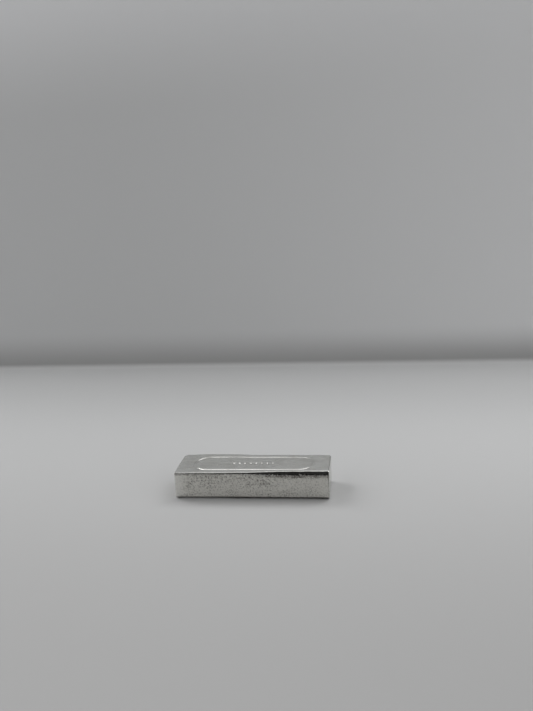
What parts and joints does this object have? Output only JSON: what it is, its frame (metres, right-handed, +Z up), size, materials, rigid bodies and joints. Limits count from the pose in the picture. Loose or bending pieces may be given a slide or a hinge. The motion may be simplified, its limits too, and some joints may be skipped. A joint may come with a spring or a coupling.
{
  "type": "metal ingot",
  "caption": "Small cast silver-white metal ingot: a solid bar with worn round edges, frosted sides and a smooth stamped top, raw stock for melting or storing.",
  "frame": {"origin": "middle of the footprint, on the flat bottom face that the bar lies on", "axes": "+X along the length from the left end to the right end, +Y from the front face to the back face, +Z up"},
  "size_m": [0.0576, 0.0168, 0.0107],
  "materials": {
    "cast_silver": "cast fine silver: frosted, finely pitted sides, a smoother top with fine lengthwise marks, worn edges"
  },
  "bodies": {
    "root": {"ingot": "cast_silver"}
  },
  "joints": []
}
